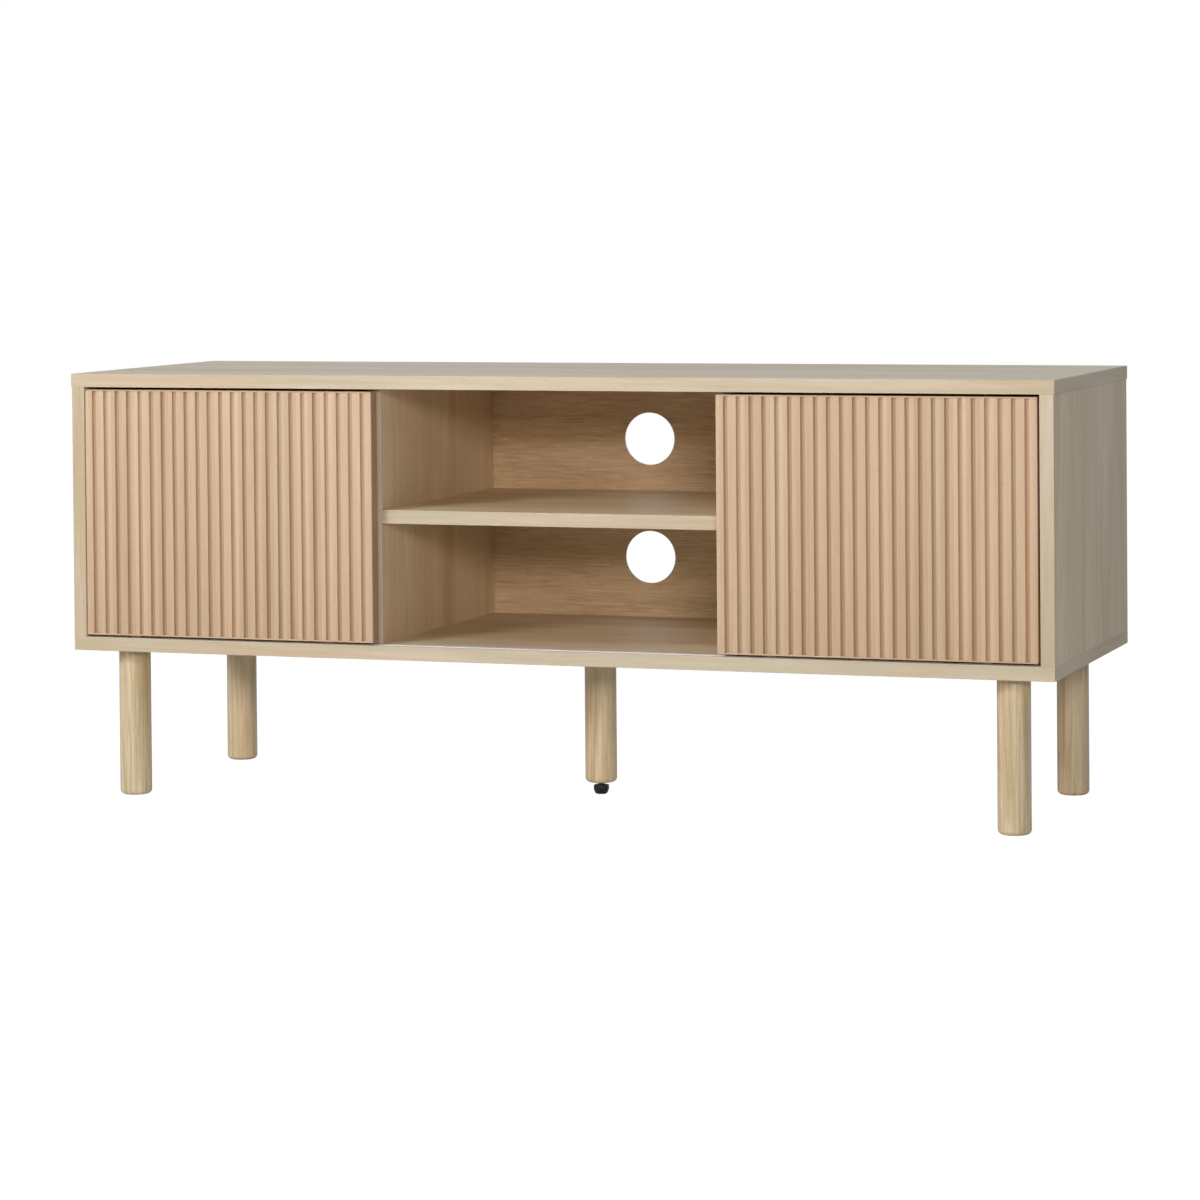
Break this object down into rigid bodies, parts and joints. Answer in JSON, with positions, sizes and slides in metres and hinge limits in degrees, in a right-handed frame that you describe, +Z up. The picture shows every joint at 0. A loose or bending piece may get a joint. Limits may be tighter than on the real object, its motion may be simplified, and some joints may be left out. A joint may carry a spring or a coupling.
{
  "type": "media cabinet",
  "caption": "Low media cabinet on round legs, with fluted sliding doors at both ends of an open middle bay with a shelf.",
  "frame": {"origin": "on the floor, under the middle of the top panel", "axes": "+X to the right as one faces the doors, +Y to the back, +Z up"},
  "size_m": [1.2, 0.4, 0.509],
  "materials": {
    "laminate": "satin melamine, pale oak print",
    "back_laminate": "matt paper foil, pale oak print",
    "door_veneer": "matt fluted oak",
    "door_band": "satin edge band",
    "leg_wood": "satin lacquered solid wood",
    "dowel_beech": "plain, fluted beech",
    "track_plastic": "satin",
    "nylon": "satin",
    "foot_plastic": "matt",
    "zinc_steel": "zinc plated"
  },
  "bodies": {
    "cabinet": {"top_panel": "laminate", "bottom_panel": "laminate", "left_side_panel": "laminate", "right_side_panel": "laminate", "left_divider": "laminate", "right_divider": "laminate", "middle_shelf": "laminate", "back_board_left": "back_laminate", "back_board_centre": "back_laminate", "back_board_right": "back_laminate", "back_strip_left": "track_plastic", "back_strip_right": "track_plastic", "bottom_track": "track_plastic", "top_track": "track_plastic", "front_left_leg": "leg_wood", "front_left_hanger_bolt": "zinc_steel", "front_left_insert_nut": "zinc_steel", "front_right_leg": "leg_wood", "front_right_hanger_bolt": "zinc_steel", "front_right_insert_nut": "zinc_steel", "rear_left_leg": "leg_wood", "rear_left_hanger_bolt": "zinc_steel", "rear_left_insert_nut": "zinc_steel", "rear_right_leg": "leg_wood", "rear_right_hanger_bolt": "zinc_steel", "rear_right_insert_nut": "zinc_steel", "centre_leg": "leg_wood", "centre_hanger_bolt": "zinc_steel", "centre_insert_nut": "zinc_steel", "centre_leg_foot_insert": "zinc_steel", "shelf_dowel_left_front": "dowel_beech", "shelf_dowel_left_rear": "dowel_beech", "shelf_dowel_right_front": "dowel_beech", "shelf_dowel_right_rear": "dowel_beech"},
    "left_door": {"left_door_panel": "door_veneer", "left_door_top_band": "door_band", "left_door_bottom_band": "door_band", "left_door_left_roller_housing": "nylon", "left_door_left_roller_axle": "zinc_steel", "left_door_left_top_guide": "nylon", "left_door_right_roller_housing": "nylon", "left_door_right_roller_axle": "zinc_steel", "left_door_right_top_guide": "nylon"},
    "right_door": {"right_door_panel": "door_veneer", "right_door_top_band": "door_band", "right_door_bottom_band": "door_band", "right_door_left_roller_housing": "nylon", "right_door_left_roller_axle": "zinc_steel", "right_door_left_top_guide": "nylon", "right_door_right_roller_housing": "nylon", "right_door_right_roller_axle": "zinc_steel", "right_door_right_top_guide": "nylon"},
    "left_door_left_wheel": {"left_door_left_roller_wheel": "nylon"},
    "left_door_right_wheel": {"left_door_right_roller_wheel": "nylon"},
    "right_door_left_wheel": {"right_door_left_roller_wheel": "nylon"},
    "right_door_right_wheel": {"right_door_right_roller_wheel": "nylon"},
    "levelling_foot": {"levelling_foot": "foot_plastic", "levelling_stud": "zinc_steel"}
  },
  "joints": [
    {"name": "left_door_slide", "type": "slide", "parent": "cabinet", "child": "left_door", "axis": [1, 0, 0], "range_m": [0, 0.2095]},
    {"name": "right_door_slide", "type": "slide", "parent": "cabinet", "child": "right_door", "axis": [-1, 0, 0], "range_m": [-0.002, 0.211]},
    {"name": "left_door_left_wheel_roll", "type": "hinge", "parent": "left_door", "child": "left_door_left_wheel", "pos_m": [-0.522, -0.1871, 0.1996], "axis": [0, 1, 0], "range_deg": [-26, 1502]},
    {"name": "left_door_right_wheel_roll", "type": "hinge", "parent": "left_door", "child": "left_door_right_wheel", "pos_m": [-0.272, -0.1871, 0.1996], "axis": [0, 1, 0], "range_deg": [-26, 1502]},
    {"name": "right_door_left_wheel_roll", "type": "hinge", "parent": "right_door", "child": "right_door_left_wheel", "pos_m": [0.27, -0.1871, 0.1996], "axis": [0, -1, 0], "range_deg": [-26, 1513]},
    {"name": "right_door_right_wheel_roll", "type": "hinge", "parent": "right_door", "child": "right_door_right_wheel", "pos_m": [0.52, -0.1871, 0.1996], "axis": [0, -1, 0], "range_deg": [-26, 1513]},
    {"name": "levelling_foot_height", "type": "slide", "parent": "cabinet", "child": "levelling_foot", "axis": [0, 0, 1], "range_m": [-0.005, 0.003]}
  ],
  "couplings": [
    {"joint": "left_door_left_wheel_roll", "follows": "left_door_slide", "rad_per_m": 125},
    {"joint": "left_door_right_wheel_roll", "follows": "left_door_slide", "rad_per_m": 125},
    {"joint": "right_door_left_wheel_roll", "follows": "right_door_slide", "rad_per_m": 125},
    {"joint": "right_door_right_wheel_roll", "follows": "right_door_slide", "rad_per_m": 125}
  ]
}
